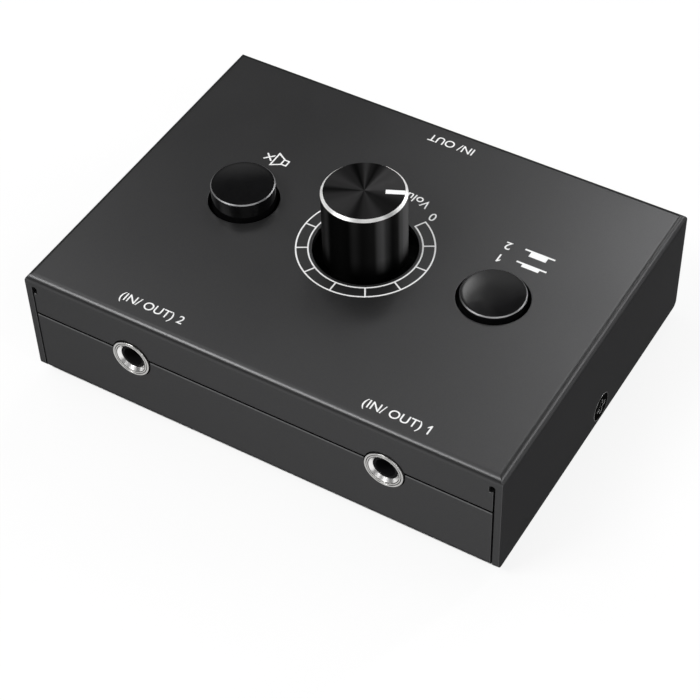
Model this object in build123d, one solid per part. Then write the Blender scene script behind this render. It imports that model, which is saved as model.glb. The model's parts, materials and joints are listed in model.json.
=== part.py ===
"""Desktop audio switch box with a volume dial, two push-push buttons and three jacks.

Millimetres, +Z up, -Y the face with two jacks, origin under the feet at the middle of the case.
"""
import os

from build123d import *

# Case
case_length = 90.6
case_depth = 67.8
case_height = 22.2
sheet = 1.2
bend_inside = 0.1
seam_height = 13.9
seam_gap = 0.35
relief_radius = 0.55
relief_length = 1.0
relief_drop = 2.6
wall_corner_radius = 1.2

# Feet
foot_radius = 4.0
foot_height = 1.5
foot_edge = 0.4
foot_inset = 7.5

# Side screws and the tray tabs that take them
screw_radius = 1.5
screw_length = 6.0
screw_edge_margin = 0.3
screw_offset_y = 3.0
screw_gap = 0.05
recess_width = 0.8
recess_span = 3.0
recess_depth = 0.9
tab_width = 12.0
tab_root = 2.4
tab_rim = 1.1

# Volume dial
dial_x = 1.3
knob_radius = 7.3
well_gap = 1.8
knob_rise = 12.9
knob_sink = 1.7
knob_bevel = 0.45
knob_foot_bevel = 0.3
pointer_width = 1.0
pointer_length = 3.3
pointer_depth = 0.3
pointer_angle = 25.0
insert_wall = 1.8
knob_crown = 3.4
knob_clearance = 0.8

# Buttons
button_radius = 5.65
button_gap = 0.65
button_edge = 0.25
button_rise = 3.6
button_dish = 0.2
button_wall = 1.1
button_crown = 1.4
latch_travel = 2.5
over_travel = 0.4
press_clearance = 0.3

# Jacks
jack_inset = 20.9
jack_below_seam = 1.1
jack_bore_radius = 1.8
nose_wall = 0.4
mouth_flare = 1.0
mouth_depth = 0.7
bush_rim = 0.35
bush_hole_gap = 0.2
bush_proud = 0.3
bush_collar = 1.0
bush_neck_wall = 0.35
bush_neck_length = 3.0
jack_wall = 1.4
jack_floor = 0.7
jack_roof = 0.9
jack_end_wall = 0.4
leaf_thickness = 0.25
leaf_length = 6.0
leaf_height = 1.6
leaf_tail = 0.8
leaf_slot_gap = 0.15
leaf_clearance = 0.1
leaf_setback = 2.4

# Circuit board and its supports
board_side_gap = 1.35
board_front_gap = 0.4
board_thickness = 1.6
board_hole_gap = 0.15
standoff_wall = 1.25
standoff_inset = 4.0
standoff_y = 17.5
standoff_shank_wall = 0.6
standoff_thread_relief = 1.1
board_screw_length = 5.0
board_screw_lip = 1.25
board_screw_head_height = 1.8
pin_radius = 0.4
pin_tail = 1.0

# Potentiometer
shaft_radius = 3.0
shaft_fit = 0.05
flat_depth = 1.5
pot_bush_wall = 0.85
flange_lip = 0.9
flange_thickness = 0.9
stop_depth = 0.9
pot_wall = 0.7
pot_roof = 1.2
end_play = 0.1
element_thickness = 1.0
element_lift = 0.5
element_gap = 0.1
wiper_lip = 0.6
wiper_thickness = 0.6
finger_width = 0.8
finger_inset = 1.0
finger_drop = 1.2
contact_gap = 0.05
stop_width = 1.8
stop_gap = 0.2
pot_pin_pitch = 2.5

# Push-push switches
stem_width = 3.2
stem_gap = 0.1
block_lip = 1.1
block_height = 1.4
block_gap = 0.3
switch_wall = 1.2
switch_roof = 1.0
switch_base_thickness = 0.8
spring_radius = 1.6
wire_radius = 0.11
spring_turns = 3
spring_seat_gap = 0.05
switch_pin_pitch = 2.5

# Sizes that follow from the ones above
half_length = case_length / 2
half_depth = case_depth / 2
bend_outside = bend_inside + sheet
case_bottom = foot_height
case_top = case_bottom + case_height
ceiling = case_top - sheet
tray_half = half_length - sheet - seam_gap
screw_head_radius = screw_radius + sheet
screw_z = case_bottom + screw_head_radius + screw_edge_margin
tab_height = screw_z - case_bottom + screw_radius + tab_rim
tab_reach = bend_outside + tab_root
jack_spacing = case_length - 2 * jack_inset
button_pitch = jack_spacing / 2
jack_z = case_bottom + seam_height - jack_below_seam
nose_radius = jack_bore_radius + nose_wall
nose_front = mouth_depth - bush_proud
bush_bore_radius = nose_radius + screw_gap
mouth_radius = bush_bore_radius + mouth_flare
bush_radius = mouth_radius + bush_rim
bush_hole_radius = bush_radius + bush_hole_gap
bush_neck_radius = bush_bore_radius + bush_neck_wall
jack_width = 2 * (bush_neck_radius + jack_wall)
jack_axis_rise = bush_neck_radius + jack_floor
leaf_x = jack_bore_radius + leaf_clearance + leaf_thickness / 2
leaf_end = bush_neck_length + leaf_setback + leaf_length
tail_y = leaf_end - leaf_tail / 2
ground_y = bush_neck_length / 2
jack_length = leaf_end + jack_end_wall
jack_face = sheet + bush_collar
board_top = jack_z - jack_axis_rise
board_bottom = board_top - board_thickness
board_half_length = tray_half - sheet - board_side_gap
board_half_depth = half_depth - jack_face - board_front_gap
standoff_x = board_half_length - standoff_inset
standoff_flat = screw_radius + standoff_wall
standoff_shank_radius = screw_radius + standoff_shank_wall
standoff_thread_depth = board_screw_length - board_thickness + standoff_thread_relief
board_screw_head_radius = screw_radius + board_screw_lip
pin_bottom = board_bottom - pin_tail
pin_hole_radius = pin_radius + board_hole_gap
knob_bottom = case_top - knob_sink
knob_top = case_top + knob_rise
well_radius = knob_radius + well_gap
insert_radius = shaft_radius + insert_wall
shaft_top = knob_top - knob_crown
shaft_flat = shaft_radius - flat_depth
flange_radius = shaft_radius + flange_lip
wiper_radius = shaft_radius + wiper_lip
finger_orbit = wiper_radius - finger_inset
pot_cavity_radius = flange_radius + stop_depth
pot_width = 2 * (pot_cavity_radius + pot_wall)
element_top = board_top + element_lift + element_thickness
finger_bottom = element_top + contact_gap
wiper_bottom = finger_bottom + finger_drop
flange_bottom = wiper_bottom + wiper_thickness
flange_top = flange_bottom + flange_thickness
pot_ceiling = flange_top + end_play
pot_top = pot_ceiling + pot_roof
pot_bush_radius = shaft_radius + shaft_fit + pot_bush_wall
pot_bush_top = knob_bottom - knob_clearance
block_width = stem_width + 2 * block_lip
switch_cavity = block_width + 2 * block_gap
switch_width = switch_cavity + 2 * switch_wall
spring_floor = board_top + switch_base_thickness
spring_stack = 2 * wire_radius * (spring_turns + 1)
switch_ceiling = spring_floor + spring_stack + over_travel + latch_travel + block_height + end_play
switch_top = switch_ceiling + switch_roof
button_bottom = switch_top + press_clearance + latch_travel + over_travel
button_top = case_top + button_rise
button_ceiling = button_top - button_crown
spare = 1.0
sides = (-1, 1)
mute_x = dial_x - button_pitch
select_x = dial_x + button_pitch
standing = (Align.CENTER, Align.CENTER, Align.MIN)
hanging = (Align.CENTER, Align.CENTER, Align.MAX)
from_right = (Align.MAX, Align.CENTER, Align.MIN)
from_rear = (Align.CENTER, Align.MAX, Align.MIN)
along_y = Rot(-90, 0, 0)


def corners(x, y):
    """Four places at plus and minus x and y."""
    return [(sx * x, sy * y) for sx in sides for sy in sides]


def tube(radius, low, high):
    """Upright cylinder about the Z axis between two heights."""
    return Pos(0, 0, low) * Cylinder(radius, high - low, align=standing)


def block(width, depth, low, high):
    """Upright block about the Z axis between two heights."""
    return Pos(0, 0, low) * Box(width, depth, high - low, align=standing)


def cross_recess(face):
    """Cross-shaped driver recess cut down from a screw's face at the given height."""
    slot = Pos(0, 0, face) * Box(recess_span, recess_width, recess_depth, align=hanging)
    return slot + Rot(0, 0, 90) * slot


def roofed_block(length, depth, height, radius):
    """Block standing on Z = 0 with its four upper edges rounded."""
    body = Box(length, depth, height, align=standing)
    return fillet(body.faces().sort_by(Axis.Z)[-1].edges(), radius)


def jack_places():
    """Each jack's name, its place on the outside of the panel and its turn about Z."""
    return {
        "left_jack": Pos(-jack_spacing / 2, -half_depth, jack_z),
        "right_jack": Pos(jack_spacing / 2, -half_depth, jack_z),
        "rear_jack": Pos(dial_x, half_depth, jack_z) * Rot(0, 0, 180),
    }


def jack_notch():
    """Opening in the panel for one jack: round below, straight-sided up to the seam."""
    round_part = along_y * Cylinder(bush_hole_radius, 2 * jack_face)
    straight_part = Box(2 * bush_hole_radius, 2 * jack_face, jack_below_seam, align=standing)
    return round_part + straight_part


def side_screw_way():
    """Countersunk clearance for the right-hand side screw, measured inwards from the wall."""
    sink = Cone(screw_head_radius + screw_gap, screw_radius + screw_gap, sheet, align=standing)
    shank = Cylinder(screw_radius + screw_gap, screw_length + spare, align=standing)
    return Pos(half_length, screw_offset_y, screw_z) * Rot(0, -90, 0) * (sink + shank)


def on_both_sides(shape):
    """The right-hand shape and its mirror image on the left."""
    return [shape, mirror(shape, about=Plane.YZ)]


# Top cover
def make_top_cover():
    """Folded cover with full-height side walls and half-height front and rear flanges."""
    cover = roofed_block(case_length, case_depth, case_height, bend_outside)
    cover -= roofed_block(case_length - 2 * sheet, case_depth - 2 * sheet, case_height - sheet, bend_inside)
    cover -= Box(case_length - 2 * sheet, case_depth + spare, seam_height + seam_gap / 2, align=standing)
    relief_z = case_height - relief_drop
    for side in sides:
        slit_x = side * (half_length - sheet - seam_gap / 2)
        relief_x = side * (half_length - sheet - relief_radius)
        cover -= Pos(slit_x, 0, 0) * Box(seam_gap, case_depth + spare, relief_z, align=standing)
        cover -= Pos(relief_x, 0, relief_z) * along_y * Cylinder(relief_radius, case_depth + spare)
        relief = Box(2 * relief_radius, case_depth + spare, relief_length, align=hanging)
        cover -= Pos(relief_x, 0, relief_z) * relief
    wall_ends = cover.edges().filter_by(Axis.X).group_by(Axis.Z)[0]
    cover = fillet(wall_ends, wall_corner_radius)
    cover = Pos(0, 0, case_bottom) * cover
    cover -= Pos(dial_x, 0, 0) * tube(well_radius, ceiling - spare, case_top + spare)
    for x in (mute_x, select_x):
        cover -= Pos(x, 0, 0) * tube(button_radius + button_gap, ceiling - spare, case_top + spare)
    for place in jack_places().values():
        cover -= place * along_y * Cylinder(bush_hole_radius, 2 * jack_face)
    for way in on_both_sides(side_screw_way()):
        cover -= way
    return cover


# Bottom tray
def make_tab():
    """Screw tab folded up from the right-hand end of the tray floor, its end at X = 0."""
    tab = Box(tab_reach, tab_width, tab_height, align=from_right)
    tab = fillet(tab.edges().filter_by(Axis.Y).group_by(Axis.Z)[0].sort_by(Axis.X)[-1], bend_outside)
    inside = Pos(-sheet, 0, sheet) * Box(tab_reach, tab_width + spare, tab_height, align=from_right)
    inside = fillet(inside.edges().filter_by(Axis.Y).group_by(Axis.Z)[0].sort_by(Axis.X)[-1], bend_inside)
    return tab - inside


def make_bottom_tray():
    """Folded tray: floor, lower front and rear flanges, and a screw tab at each end."""
    outer = Box(2 * tray_half, case_depth, seam_height - seam_gap / 2, align=standing)
    outer = fillet(outer.edges().filter_by(Axis.X).group_by(Axis.Z)[0], bend_outside)
    inner = Pos(0, 0, sheet) * Box(case_length, case_depth - 2 * sheet, case_height, align=standing)
    inner = fillet(inner.edges().filter_by(Axis.X).group_by(Axis.Z)[0], bend_inside)
    tray = outer - inner
    place = Pos(tray_half, screw_offset_y, 0)
    pocket = Box(bend_outside, tab_width + 2 * seam_gap, sheet, align=from_right)
    for gap in on_both_sides(place * pocket):
        tray -= gap
    for tab in on_both_sides(place * make_tab()):
        tray += tab
    tray = Pos(0, 0, case_bottom) * tray
    for way in on_both_sides(side_screw_way()):
        tray -= way
    for jack in jack_places().values():
        tray -= jack * jack_notch()
    for x, y in corners(standoff_x, standoff_y):
        tray -= Pos(x, y, 0) * tube(standoff_shank_radius + screw_gap, 0, case_bottom + sheet)
    return tray


# Fasteners and feet
def make_side_screws():
    """One countersunk cross-head screw in each side wall."""
    head = Cone(screw_head_radius, screw_radius, sheet, align=standing)
    shank = Cylinder(screw_radius, screw_length, align=standing)
    screw = head + shank - Rot(180, 0, 0) * cross_recess(0)
    right = Pos(half_length, screw_offset_y, screw_z) * Rot(0, -90, 0) * screw
    return on_both_sides(right)


def make_feet():
    """Stick-on rubber feet under the tray."""
    foot = Cylinder(foot_radius, foot_height, align=standing)
    foot = fillet(foot.edges().group_by(Axis.Z)[0], foot_edge)
    return [Pos(x, y, 0) * foot for x, y in corners(half_length - foot_inset, half_depth - foot_inset)]


def make_standoffs():
    """Hexagonal standoffs clinched through the tray floor."""
    hexagon = RegularPolygon(standoff_flat, 6, major_radius=False)
    floor = case_bottom + sheet
    post = Pos(0, 0, floor) * extrude(hexagon, board_bottom - floor)
    post += tube(standoff_shank_radius, case_bottom, floor)
    post -= tube(screw_radius + screw_gap, board_bottom - standoff_thread_depth, board_bottom)
    return [Pos(x, y, 0) * post for x, y in corners(standoff_x, standoff_y)]


def make_board_screws():
    """Pan-head cross screws that hold the board on its standoffs."""
    head_top = board_top + board_screw_head_height
    screw = tube(board_screw_head_radius, board_top, head_top)
    screw += tube(screw_radius, board_top - board_screw_length, board_top)
    screw -= cross_recess(head_top)
    return [Pos(x, y, 0) * screw for x, y in corners(standoff_x, standoff_y)]


# Places of the pins in the board
def pot_pins():
    """Places of the potentiometer's two rows of pins."""
    return [(dial_x + column * pot_pin_pitch, row * pot_pin_pitch) for row in sides for column in (-1, 0, 1)]


def switch_pins(x):
    """Places of one switch's two rows of pins."""
    return [(x + row * switch_pin_pitch, column * switch_pin_pitch) for row in sides for column in (-1, 0, 1)]


def pin_group(places, top):
    """Round pins standing in the board at the given places, up to one height."""
    return [Pos(x, y, 0) * tube(pin_radius, pin_bottom, top) for x, y in places]


def make_board():
    """Circuit board with its mounting holes and the holes for every pin."""
    board = block(2 * board_half_length, 2 * board_half_depth, board_bottom, board_top)
    for x, y in corners(standoff_x, standoff_y):
        board -= Pos(x, y, 0) * tube(screw_radius + board_hole_gap, board_bottom, board_top)
    for x, y in pot_pins() + switch_pins(mute_x) + switch_pins(select_x):
        board -= Pos(x, y, 0) * tube(pin_hole_radius, board_bottom, board_top)
    drill = Cylinder(leaf_tail / 2 + board_hole_gap, board_thickness, align=hanging)
    drill = Pos(0, 0, -jack_axis_rise) * drill
    for place in jack_places().values():
        for x, y in ((-leaf_x, tail_y), (leaf_x, tail_y), (0, ground_y)):
            board -= place * Pos(x, jack_face + y, 0) * drill
    return board


# Jacks, built with the axis along Y and the outside of the panel at Y = 0
def make_jack_bush():
    """Plated bush with a flared mouth, standing a little proud of the panel."""
    collar = along_y * Cylinder(bush_radius, bush_proud + jack_face, align=standing)
    neck = along_y * Cylinder(bush_neck_radius, bush_proud + jack_face + bush_neck_length, align=standing)
    bore = along_y * Cylinder(bush_bore_radius, bush_proud + jack_face + bush_neck_length, align=standing)
    mouth = along_y * Cone(mouth_radius, bush_bore_radius, mouth_depth, align=standing)
    return Pos(0, -bush_proud, 0) * (collar + neck - bore - mouth)


def leaf_slot():
    """Slots beside the bore, open downwards, for the two contact leaves."""
    reach = leaf_thickness / 2 + leaf_slot_gap
    length = leaf_length + 2 * leaf_slot_gap
    height = jack_axis_rise + leaf_height / 2 + leaf_slot_gap
    slot = Box(2 * (leaf_x + reach), length, height, align=from_rear)
    core = Box(2 * (leaf_x - reach), length, jack_axis_rise, align=from_rear)
    return Pos(0, jack_face + leaf_end + leaf_slot_gap, -jack_axis_rise) * (slot - core)


def make_jack_housing():
    """Moulded housing on the board, with a nose that fills the bush up to its flared mouth."""
    height = jack_axis_rise + bush_neck_radius + jack_roof
    body = Box(jack_width, jack_length, height, align=from_rear)
    body = Pos(0, jack_face + jack_length, -jack_axis_rise) * body
    path = Pos(0, jack_face, 0) * along_y
    body -= path * Cylinder(bush_neck_radius + screw_gap, bush_neck_length, align=standing)
    body -= Pos(0, jack_face + ground_y, 0) * Cylinder(pin_hole_radius, jack_axis_rise, align=hanging)
    nose = Pos(0, nose_front, 0) * along_y
    body += nose * Cylinder(nose_radius, jack_face + bush_neck_length - nose_front, align=standing)
    body -= nose * Cylinder(jack_bore_radius, jack_face + jack_length - nose_front, align=standing)
    return body - leaf_slot()


def make_jack_contacts():
    """Two contact leaves with their tails, and the bush's ground pin."""
    tail_low = pin_bottom - jack_z
    place = Pos(leaf_x, jack_face + leaf_end, 0)
    leaf = Box(leaf_thickness, leaf_length, leaf_height, align=from_rear)
    leaf = place * Pos(0, 0, -leaf_height / 2) * leaf
    tail = Box(leaf_thickness, leaf_tail, -tail_low, align=from_rear)
    tail = place * Pos(0, 0, tail_low) * tail
    ground = Pos(0, jack_face + ground_y, 0) * tube(pin_radius, tail_low, -bush_neck_radius)
    return on_both_sides(leaf + tail) + [ground]


# Potentiometer
def make_pot_housing():
    """Square housing with a threaded bush above and a stop rib at the rear of its round cavity."""
    housing = block(pot_width, pot_width, board_top, pot_top)
    housing += tube(pot_bush_radius, pot_top, pot_bush_top)
    housing -= tube(pot_cavity_radius, board_top, pot_ceiling)
    housing -= tube(shaft_radius + shaft_fit, pot_ceiling, pot_bush_top)
    rib = block(stop_width, pot_cavity_radius + spare, flange_bottom, pot_ceiling)
    rib = Pos(0, (pot_cavity_radius + spare) / 2, 0) * rib
    rib &= tube(pot_cavity_radius, flange_bottom, pot_ceiling)
    housing += rib - tube(flange_radius + stop_gap, flange_bottom, pot_ceiling)
    return Pos(dial_x, 0, 0) * housing


def make_pot_element():
    """Resistive element that closes the cavity."""
    return Pos(dial_x, 0, 0) * tube(pot_cavity_radius - element_gap, board_top + element_lift, element_top)


def shaft_flat_cut(low, high):
    """Space beyond the flat of the shaft."""
    cut = block(2 * shaft_radius, 2 * shaft_radius, low, high)
    return Pos(0, shaft_flat + shaft_radius, 0) * cut


def turned(shape):
    """Puts a shape made with its pointer along +X at the dial, turned to its rest angle."""
    return Pos(dial_x, 0, 0) * Rot(0, 0, pointer_angle) * shape


def make_pot_shaft():
    """Shaft with a retaining flange, a stop lug and a flat for the knob."""
    shaft = tube(shaft_radius, flange_bottom, shaft_top)
    shaft += tube(flange_radius, flange_bottom, flange_top)
    lug_length = pot_cavity_radius - stop_gap
    lug = Pos(lug_length / 2, 0, 0) * block(lug_length, stop_width, flange_bottom, flange_top)
    shaft += lug & tube(lug_length, flange_bottom, flange_top)
    return turned(shaft - shaft_flat_cut(knob_bottom, shaft_top))


def make_pot_wiper():
    """Wiper disc under the shaft with two contact fingers over the element."""
    wiper = tube(wiper_radius, wiper_bottom, flange_bottom)
    finger = block(finger_width, finger_width, finger_bottom, wiper_bottom)
    for side in sides:
        wiper += Pos(side * finger_orbit, 0, 0) * finger
    return turned(wiper)


# Knob
def make_knob_shell():
    """Turned knob with a bevelled upper edge, a bore for the insert and a groove for the pointer."""
    shell = tube(knob_radius, knob_bottom, knob_top)
    shell = chamfer(shell.edges().group_by(Axis.Z)[-1], knob_bevel)
    shell = chamfer(shell.edges().group_by(Axis.Z)[0], knob_foot_bevel)
    shell -= tube(insert_radius, knob_bottom, shaft_top)
    return turned(shell - pointer_bar())


def pointer_bar():
    """Bar on the top of the knob that reaches out to the bevel."""
    outer = knob_radius - knob_bevel
    bar = block(pointer_length, pointer_width, knob_top - pointer_depth, knob_top)
    bar = Pos(outer - pointer_length / 2, 0, 0) * bar
    return bar & tube(outer, knob_top - pointer_depth, knob_top)


def make_knob_insert():
    """Moulded sleeve between the knob and the shaft, with a flat in its bore."""
    bore = tube(shaft_radius, knob_bottom, shaft_top) - shaft_flat_cut(knob_bottom, shaft_top)
    return turned(tube(insert_radius, knob_bottom, shaft_top) - bore)


# Push-push switches
def make_switch_housing(x):
    """Switch housing, open below, with a square hole for the plunger's stem."""
    housing = block(switch_width, switch_width, spring_floor, switch_top)
    housing -= block(switch_cavity, switch_cavity, spring_floor, switch_ceiling)
    hole = stem_width + 2 * stem_gap
    return Pos(x, 0, 0) * (housing - block(hole, hole, switch_ceiling, switch_top))


def make_switch_base(x):
    """Base that closes the switch and seats its spring."""
    return Pos(x, 0, 0) * block(switch_width, switch_width, board_top, spring_floor)


def block_top(pressed):
    """Height of the top of the plunger's block."""
    return switch_ceiling - end_play - pressed


def make_plunger(x, pressed):
    """Plunger: a block held in the housing and the stem that carries the button."""
    top = block_top(pressed)
    plunger = block(block_width, block_width, top - block_height, top)
    plunger += block(stem_width, stem_width, top, button_ceiling - pressed)
    return Pos(x, 0, 0) * plunger


def make_spring(x, pressed):
    """Return spring between the switch's base and the plunger's block."""
    low = spring_floor + spring_seat_gap + wire_radius
    high = block_top(pressed) - block_height - spring_seat_gap - wire_radius
    coil = Helix((high - low) / spring_turns, high - low, spring_radius)
    section = Plane(origin=coil @ 0, z_dir=coil % 0) * Circle(wire_radius)
    return Pos(x, 0, low) * sweep(section, path=coil, is_frenet=True)


def make_button(x, pressed):
    """Round button with a rounded edge, a dished top, a hollow skirt and a socket for the stem."""
    top = button_top - pressed
    bottom = button_bottom - pressed
    cap = tube(button_radius, bottom, top)
    cap = fillet(cap.edges().group_by(Axis.Z)[-1], button_edge)
    rim = button_radius - button_edge
    dish_radius = (rim ** 2 + button_dish ** 2) / (2 * button_dish)
    cap -= Pos(0, 0, top + dish_radius - button_dish) * Sphere(dish_radius)
    ceiling_inside = button_ceiling - pressed
    skirt = tube(button_radius - button_wall, bottom, ceiling_inside)
    boss = tube(stem_width / 2 + 2 * button_wall, bottom, ceiling_inside)
    socket = block(stem_width, stem_width, bottom, ceiling_inside)
    return Pos(x, 0, 0) * (cap - (skirt - boss) - socket)


# Every piece by name
nodes = {
    "top_cover": make_top_cover(),
    "bottom_tray": make_bottom_tray(),
    "side_screws": make_side_screws(),
    "feet": make_feet(),
    "standoffs": make_standoffs(),
    "board": make_board(),
    "board_screws": make_board_screws(),
    "pot_housing": make_pot_housing(),
    "pot_element": make_pot_element(),
    "pot_terminals": pin_group(pot_pins(), board_top + element_lift),
    "pot_shaft": make_pot_shaft(),
    "pot_wiper": make_pot_wiper(),
    "knob_shell": make_knob_shell(),
    "knob_insert": make_knob_insert(),
    "knob_pointer": turned(pointer_bar()),
}
for name, place in jack_places().items():
    nodes[name + "_bush"] = place * make_jack_bush()
    nodes[name + "_housing"] = place * make_jack_housing()
    nodes[name + "_contacts"] = [place * piece for piece in make_jack_contacts()]
for name, x, pressed in (("mute", mute_x, 0), ("select", select_x, latch_travel)):
    nodes[name + "_housing"] = make_switch_housing(x)
    nodes[name + "_base"] = make_switch_base(x)
    nodes[name + "_terminals"] = pin_group(switch_pins(x), board_top)
    nodes[name + "_plunger"] = make_plunger(x, pressed)
    nodes[name + "_spring"] = make_spring(x, pressed)
    nodes[name + "_button"] = make_button(x, pressed)

os.makedirs("parts", exist_ok=True)
for name, shape in nodes.items():
    piece = Compound(children=shape) if isinstance(shape, list) else shape
    export_step(piece, f"parts/{name}.step")
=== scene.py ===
"""Looks of the desktop audio switch box: dressed pieces, printed panel and studio.

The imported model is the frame, and every class below dresses its nodes or adds what is printed on them.
Lengths are metres in the frame of the model; sizes are written in millimetres times MM.
"""

import json
import logging
import math
from dataclasses import asdict, dataclass, field
from enum import Enum

import bmesh
import bpy
from mathutils import Matrix, Vector


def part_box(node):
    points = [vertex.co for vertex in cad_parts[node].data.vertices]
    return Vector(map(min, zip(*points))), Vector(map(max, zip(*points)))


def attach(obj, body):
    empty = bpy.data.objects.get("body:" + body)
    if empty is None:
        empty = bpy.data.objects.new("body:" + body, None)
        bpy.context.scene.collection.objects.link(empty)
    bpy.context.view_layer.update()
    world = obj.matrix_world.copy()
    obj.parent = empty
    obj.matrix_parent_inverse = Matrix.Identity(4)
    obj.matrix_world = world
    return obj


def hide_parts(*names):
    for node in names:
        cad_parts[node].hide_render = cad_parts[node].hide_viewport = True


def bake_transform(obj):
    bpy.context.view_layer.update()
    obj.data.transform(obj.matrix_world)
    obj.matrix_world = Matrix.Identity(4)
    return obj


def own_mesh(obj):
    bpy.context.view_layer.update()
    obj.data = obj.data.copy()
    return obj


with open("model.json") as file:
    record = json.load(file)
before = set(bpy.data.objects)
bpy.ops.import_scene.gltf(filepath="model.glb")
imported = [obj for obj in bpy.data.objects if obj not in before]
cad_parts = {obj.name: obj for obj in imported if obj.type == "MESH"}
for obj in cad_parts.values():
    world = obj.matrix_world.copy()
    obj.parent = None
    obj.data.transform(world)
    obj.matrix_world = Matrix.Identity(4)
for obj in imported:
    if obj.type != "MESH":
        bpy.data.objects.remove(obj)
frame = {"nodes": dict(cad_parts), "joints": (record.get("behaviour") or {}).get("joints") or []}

MM = 0.001
LOG = logging.getLogger("switch_box")

# Thickness of the ink, and height of a capital in the built-in face at size 1
INK = 0.02 * MM
CAPITAL_SHARE = 0.729

# How far a face at 45 degrees faces up
SLANT = math.sqrt(0.5)

# Edges sharper than this stay sharp, and corners flatter than this stay unrounded
SHARP_EDGE = math.radians(35.0)
NEARLY_STRAIGHT = math.radians(89.0)

# Radius taken as on the axis, the tightest mitre of a line and the samples of an eased edge
ON_AXIS = 1e-9
TIGHTEST_MITRE = 0.3
EDGE_SAMPLES = 6

Colour = tuple[float, float, float]
Corner = tuple[float, float, float]
Point = tuple[float, float]
Socket = bpy.types.NodeSocket
Inputs = dict[str | int, object]


class Side(Enum):
    """Side of the box that a jack faces or a word is read from, as a turn about the upright axis."""

    FRONT = 0.0
    REAR = math.pi


class Turned(Enum):
    """How the axis of a turned piece lies, as the plane across it."""

    UPRIGHT = (1.0, 1.0, 0.0)
    LYING = (1.0, 0.0, 1.0)


# Places and objects


def centre(node: str) -> Vector:
    """Middle of a node of the frame."""
    low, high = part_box(node)
    return (low + high) / 2


def towards(azimuth: float, elevation: float) -> Vector:
    """Direction from the box to a place around it.

    Args:
        azimuth: degrees from the front towards the right.
        elevation: degrees above the floor.

    Returns:
        The direction, of length 1.
    """
    turn, rise = math.radians(azimuth), math.radians(elevation)
    return Vector((math.sin(turn) * math.cos(rise), -math.cos(turn) * math.cos(rise), math.sin(rise)))


def linked(name: str, data: bpy.types.ID) -> bpy.types.Object:
    """Makes an object and links it to the scene.

    Args:
        name: name of the object.
        data: its mesh, text, lamp or camera.

    Returns:
        The object.
    """
    made = bpy.data.objects.new(name, data)
    bpy.context.scene.collection.objects.link(made)
    return made


# Node trees


class Tree:
    """A node tree written as expressions: each call adds a node and links what it is given."""

    def __init__(self, tree: bpy.types.NodeTree) -> None:
        """Keeps the tree of a material, a world or a group to write in."""
        self.tree = tree

    def feed(self, socket: Socket, value: object) -> None:
        """Links or sets an input.

        Args:
            socket: the input.
            value: socket to link to it, or the value to set.
        """
        if isinstance(value, Socket):
            self.tree.links.new(value, socket)
        else:
            socket.default_value = value

    def add(self, kind: str, inputs: Inputs | None = None, **settings: object) -> bpy.types.Node:
        """Adds a node.

        Args:
            kind: Blender's name of the node type.
            inputs: input names or numbers with the socket to link or the value to set.
            **settings: attributes of the node.

        Returns:
            The new node.
        """
        node = self.tree.nodes.new(kind)
        for key, value in settings.items():
            setattr(node, key, value)
        for key, value in (inputs or {}).items():
            self.feed(node.inputs[key], value)
        return node

    def math(self, operation: str, *values: Socket | float) -> Socket:
        """Adds a Math node and returns its result."""
        return self.add("ShaderNodeMath", dict(enumerate(values)), operation=operation).outputs[0]

    def vector(self, operation: str, *values: object) -> Socket:
        """Adds a Vector Math node and returns its vector."""
        inputs = dict(enumerate(values))
        return self.add("ShaderNodeVectorMath", inputs, operation=operation).outputs["Vector"]

    def measure(self, operation: str, *values: object) -> Socket:
        """Adds a Vector Math node and returns its number."""
        inputs = dict(enumerate(values))
        return self.add("ShaderNodeVectorMath", inputs, operation=operation).outputs["Value"]

    def place(self) -> Socket:
        """Place on the piece, in the frame of the model."""
        return self.add("ShaderNodeTexCoord").outputs["Object"]

    def parts(self, value: Socket) -> dict[str, Socket]:
        """Parts X, Y and Z of a vector."""
        return dict(self.add("ShaderNodeSeparateXYZ", {0: value}).outputs.items())

    def radius(self, middle: Socket | Vector, across: Socket | Colour) -> Socket:
        """Distance from an axis through a middle, given the plane across the axis."""
        arm = self.vector("SUBTRACT", self.place(), middle)
        return self.measure("LENGTH", self.vector("MULTIPLY", arm, across))

    def eased_normal(self, width: Socket | float) -> Socket:
        """Normal of the surface, with its edges eased over a width."""
        return self.add("ShaderNodeBevel", {"Radius": width}, samples=EDGE_SAMPLES).outputs[0]

    def span(self, value: Socket, source: Point, target: Point = (0.0, 1.0)) -> Socket:
        """Maps a value from one range to another, held at both ends.

        Args:
            value: socket to map.
            source: low and high end of the range that comes in.
            target: low and high end of the range that goes out.

        Returns:
            The mapped value.
        """
        ends = {0: value, 1: source[0], 2: source[1], 3: target[0], 4: target[1]}
        return self.add("ShaderNodeMapRange", ends).outputs[0]

    def blend(self, share: Socket, first: Colour | Socket, second: Colour | Socket) -> Socket:
        """Mixes two colours.

        Args:
            share: share of the second colour.
            first: colour at a share of 0.
            second: colour at a share of 1.

        Returns:
            The mixed colour.
        """
        node = self.add("ShaderNodeMix", data_type="RGBA")
        sockets = {socket.identifier: socket for socket in (*node.inputs, *node.outputs)}
        self.feed(sockets["Factor_Float"], share)
        for name, colour in (("A_Color", first), ("B_Color", second)):
            self.feed(sockets[name], colour if isinstance(colour, Socket) else (*colour, 1.0))
        return sockets["Result_Color"]


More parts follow.
